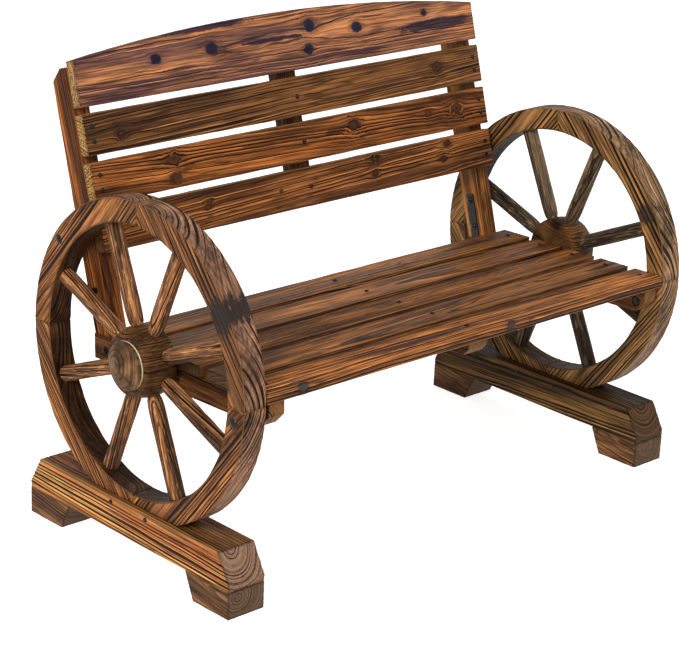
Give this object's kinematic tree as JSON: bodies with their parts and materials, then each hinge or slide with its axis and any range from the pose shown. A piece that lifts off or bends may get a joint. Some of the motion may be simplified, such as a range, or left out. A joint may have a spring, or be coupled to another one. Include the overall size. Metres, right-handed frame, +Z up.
{
  "type": "wagon wheel bench",
  "caption": "Rustic garden bench of scorched wood: spoked wagon wheels on footed beams as arms, a slatted seat and a leaning slatted back with an arched top rail.",
  "frame": {"origin": "middle of the footprint on the floor", "axes": "+X to the right of someone who faces the front of the bench, +Y to the back, +Z up; the seat faces -Y"},
  "size_m": [1.098, 0.5596, 0.8124],
  "materials": {
    "rim_wood": "scorched and brushed, clear stain",
    "spoke_wood": "scorched and brushed, clear stain",
    "hub_wood": "scorched and brushed, clear stain",
    "base_wood": "scorched and brushed, clear stain",
    "seat_wood": "scorched and brushed, clear stain",
    "back_wood": "scorched and brushed, clear stain",
    "frame_wood": "scorched and brushed, clear stain",
    "dowel_wood": "scorched and brushed, clear stain",
    "black_steel": "black coated",
    "screw_steel": "dark coated"
  },
  "bodies": {
    "root": {"back_screws": "screw_steel", "back_slat_1": "back_wood", "back_slat_2": "back_wood", "back_slat_3": "back_wood", "base_screws": "screw_steel", "centre_rail": "frame_wood", "felloe_dowels": "dowel_wood", "left_back_post": "frame_wood", "left_base_beam": "base_wood", "left_felloe_1": "rim_wood", "left_felloe_2": "rim_wood", "left_felloe_3": "rim_wood", "left_felloe_4": "rim_wood", "left_front_foot": "base_wood", "left_hub": "hub_wood", "left_hub_cap": "hub_wood", "left_plate": "black_steel", "left_rear_foot": "base_wood", "left_side_rail": "frame_wood", "left_spoke_1": "spoke_wood", "left_spoke_2": "spoke_wood", "left_spoke_3": "spoke_wood", "left_spoke_4": "spoke_wood", "left_spoke_5": "spoke_wood", "left_spoke_6": "spoke_wood", "left_spoke_7": "spoke_wood", "left_spoke_8": "spoke_wood", "middle_stile": "frame_wood", "nuts": "black_steel", "plate_bolts": "black_steel", "right_back_post": "frame_wood", "right_base_beam": "base_wood", "right_felloe_1": "rim_wood", "right_felloe_2": "rim_wood", "right_felloe_3": "rim_wood", "right_felloe_4": "rim_wood", "right_front_foot": "base_wood", "right_hub": "hub_wood", "right_hub_cap": "hub_wood", "right_plate": "black_steel", "right_rear_foot": "base_wood", "right_side_rail": "frame_wood", "right_spoke_1": "spoke_wood", "right_spoke_2": "spoke_wood", "right_spoke_3": "spoke_wood", "right_spoke_4": "spoke_wood", "right_spoke_5": "spoke_wood", "right_spoke_6": "spoke_wood", "right_spoke_7": "spoke_wood", "right_spoke_8": "spoke_wood", "rim_bolts": "black_steel", "rim_spacers": "black_steel", "seat_screws": "screw_steel", "seat_slat_1": "seat_wood", "seat_slat_2": "seat_wood", "seat_slat_3": "seat_wood", "seat_slat_4": "seat_wood", "seat_slat_5": "seat_wood", "top_rail": "back_wood"}
  },
  "joints": []
}
